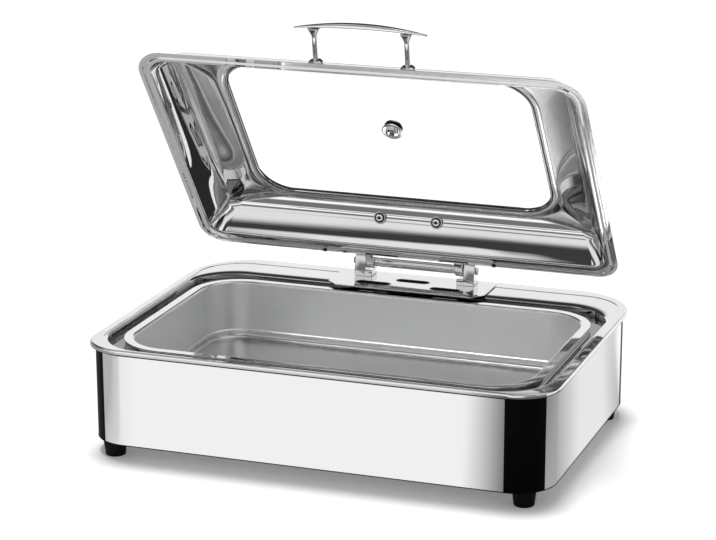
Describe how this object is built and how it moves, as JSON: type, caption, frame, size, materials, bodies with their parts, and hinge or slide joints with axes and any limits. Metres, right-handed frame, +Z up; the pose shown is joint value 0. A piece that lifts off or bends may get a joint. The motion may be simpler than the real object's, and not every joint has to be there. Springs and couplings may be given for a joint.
{
  "type": "electric chafing dish",
  "caption": "Countertop electric food warmer: polished steel body on black feet, removable food pan in a water pan, hinged lid with a glass window, bar handle and vent.",
  "frame": {"origin": "on the floor plane, under the middle of the whole object as it stands with its lid open", "axes": "+X to the right along the long side seen from the front, +Y towards the hinge at the back, +Z up"},
  "size_m": [0.59, 0.4502, 0.5177],
  "materials": {
    "polished_steel": "mirror-polished stainless steel",
    "satin_steel": "satin stainless steel",
    "black_plastic": "glossy black heat-resistant plastic",
    "black_rubber": "matt black rubber",
    "silicone": "satin black silicone rubber",
    "glass": "clear tempered glass",
    "aluminium": "cast, satin",
    "brass": "bright contact metal",
    "amber_lens": "clear amber lens",
    "white_plastic": "moulded thermostat case"
  },
  "bodies": {
    "base": {"top_frame": "polished_steel", "front_panel": "polished_steel", "right_panel": "polished_steel", "rear_panel": "polished_steel", "left_panel": "polished_steel", "hinge_seat_plate": "polished_steel", "hinge_post_left": "polished_steel", "hinge_post_right": "polished_steel", "base_plate": "satin_steel", "heating_element": "satin_steel", "element_clamp_left": "satin_steel", "element_clamp_right": "satin_steel", "plate_support_left": "satin_steel", "plate_support_right": "satin_steel", "hinge_pin": "satin_steel", "foot_screw_front_left": "satin_steel", "foot_screw_front_right": "satin_steel", "foot_screw_rear_left": "satin_steel", "foot_screw_rear_right": "satin_steel", "corner_post_front_left": "black_plastic", "corner_post_front_right": "black_plastic", "corner_post_rear_right": "black_plastic", "corner_post_rear_left": "black_plastic", "control_bezel": "black_plastic", "switch_housing": "black_plastic", "inlet_socket": "black_plastic", "thermal_cutout": "black_plastic", "foot_front_left": "black_rubber", "foot_front_right": "black_rubber", "foot_rear_left": "black_rubber", "foot_rear_right": "black_rubber", "heating_plate": "aluminium", "inlet_contacts": "brass", "indicator_lamp": "amber_lens", "thermostat": "white_plastic"},
    "lid": {"lid_shell": "polished_steel", "hinge_barrel": "polished_steel", "lid_bracket": "polished_steel", "bracket_screw_left": "satin_steel", "bracket_screw_right": "satin_steel", "window_seal": "silicone", "window_glass": "glass", "window_frame": "polished_steel", "vent_grommet": "silicone", "vent_eyelet": "polished_steel", "handle_bar": "polished_steel", "handle_post_left": "polished_steel", "handle_post_right": "polished_steel", "handle_rosette_left": "polished_steel", "handle_rosette_right": "polished_steel", "handle_screw_left": "satin_steel", "handle_screw_right": "satin_steel", "lid_bumper_rear_left": "silicone", "lid_bumper_rear_right": "silicone"},
    "water_pan_body": {"water_pan": "satin_steel"},
    "food_pan_body": {"food_pan": "satin_steel"},
    "knob": {"temperature_knob": "black_plastic", "thermostat_shaft": "satin_steel"},
    "rocker": {"power_rocker": "black_plastic"}
  },
  "joints": [
    {"name": "lid_hinge", "type": "hinge", "parent": "base", "child": "lid", "pos_m": [0, 0.17945, 0.162], "axis": [-1, 0, 0], "range_deg": [-53.6, 34.4]},
    {"name": "water_pan_lift", "type": "slide", "parent": "base", "child": "water_pan_body", "axis": [0, 0, 1], "range_m": [0, 0.06]},
    {"name": "food_pan_lift", "type": "slide", "parent": "water_pan_body", "child": "food_pan_body", "axis": [0, 0, 1], "range_m": [0, 0.06]},
    {"name": "temperature_knob_turn", "type": "hinge", "parent": "base", "child": "knob", "pos_m": [0.071, 0.2, 0.08], "axis": [0, 1, 0], "range_deg": [0, 270]},
    {"name": "power_rocker_tilt", "type": "hinge", "parent": "base", "child": "rocker", "pos_m": [0.165, 0.20705, 0.08], "axis": [1, 0, 0], "range_deg": [0, 20]}
  ]
}
